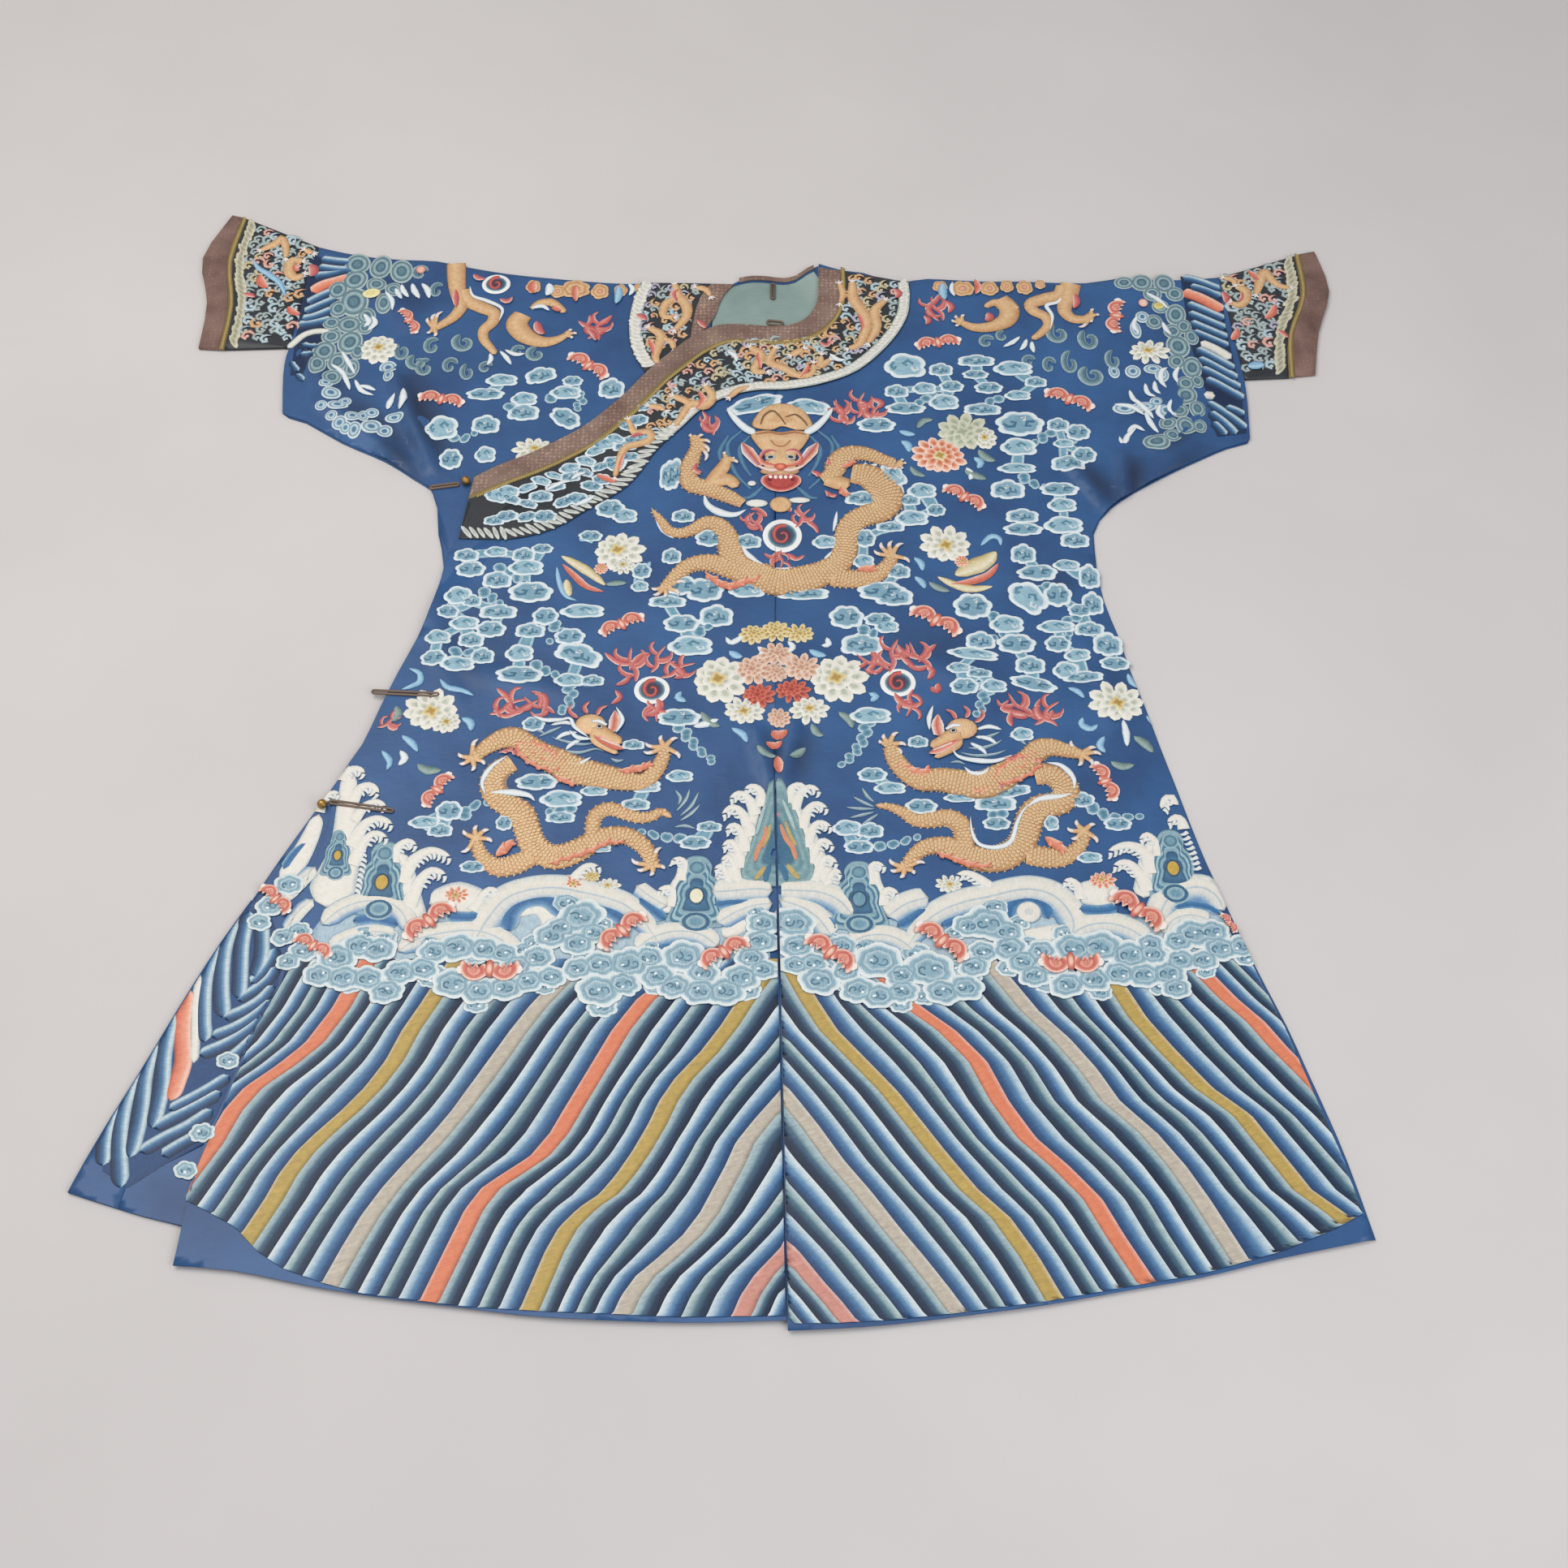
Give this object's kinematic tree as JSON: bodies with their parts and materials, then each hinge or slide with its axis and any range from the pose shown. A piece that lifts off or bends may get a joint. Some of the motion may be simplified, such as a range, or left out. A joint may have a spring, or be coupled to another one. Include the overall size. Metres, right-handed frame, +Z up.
{
  "type": "chinese dragon robe",
  "caption": "Silk dragon robe laid flat, front lapping over to the right side, curved collar band to the armpit, short sleeves with banded cuffs, side loops with ball buttons.",
  "frame": {"origin": "on the surface that the robe lies on, under the middle of its bounding box", "axes": "+X to the wearer's left, +Y from the hem towards the neck, +Z up off the surface, out of the robe's front"},
  "size_m": [1.422, 1.5049, 0.0146],
  "materials": {
    "blue_silk": "satin-weave silk, soft sheen, embroidered",
    "celadon_silk": "plain silk lining, soft sheen",
    "dark_silk": "dark silk ground covered with embroidery",
    "brown_brocade": "brown silk brocade, matt",
    "dark_cord": "dark silk cord, matt",
    "olive_gold_cord": "gold and olive corded piping",
    "gilt_brass": "worn gilt, softly polished"
  },
  "bodies": {
    "root": {"right_half": "blue_silk", "left_half": "blue_silk", "outer_front": "blue_silk", "back_neck_facing": "blue_silk", "neck_lining": "celadon_silk", "collar_band": "dark_silk", "inner_collar_band": "dark_silk", "right_cuff": "dark_silk", "left_cuff": "dark_silk", "collar_binding": "brown_brocade", "inner_collar_binding": "brown_brocade", "back_neck_binding": "brown_brocade", "right_cuff_binding": "brown_brocade", "left_cuff_binding": "brown_brocade", "armpit_loop": "brown_brocade", "upper_side_loop": "brown_brocade", "lower_side_loop": "brown_brocade", "neck_loop": "brown_brocade", "hanging_loop": "dark_cord", "collar_piping": "olive_gold_cord", "right_cuff_piping": "olive_gold_cord", "left_cuff_piping": "olive_gold_cord", "armpit_button": "gilt_brass", "lower_side_button": "gilt_brass"}
  },
  "joints": []
}
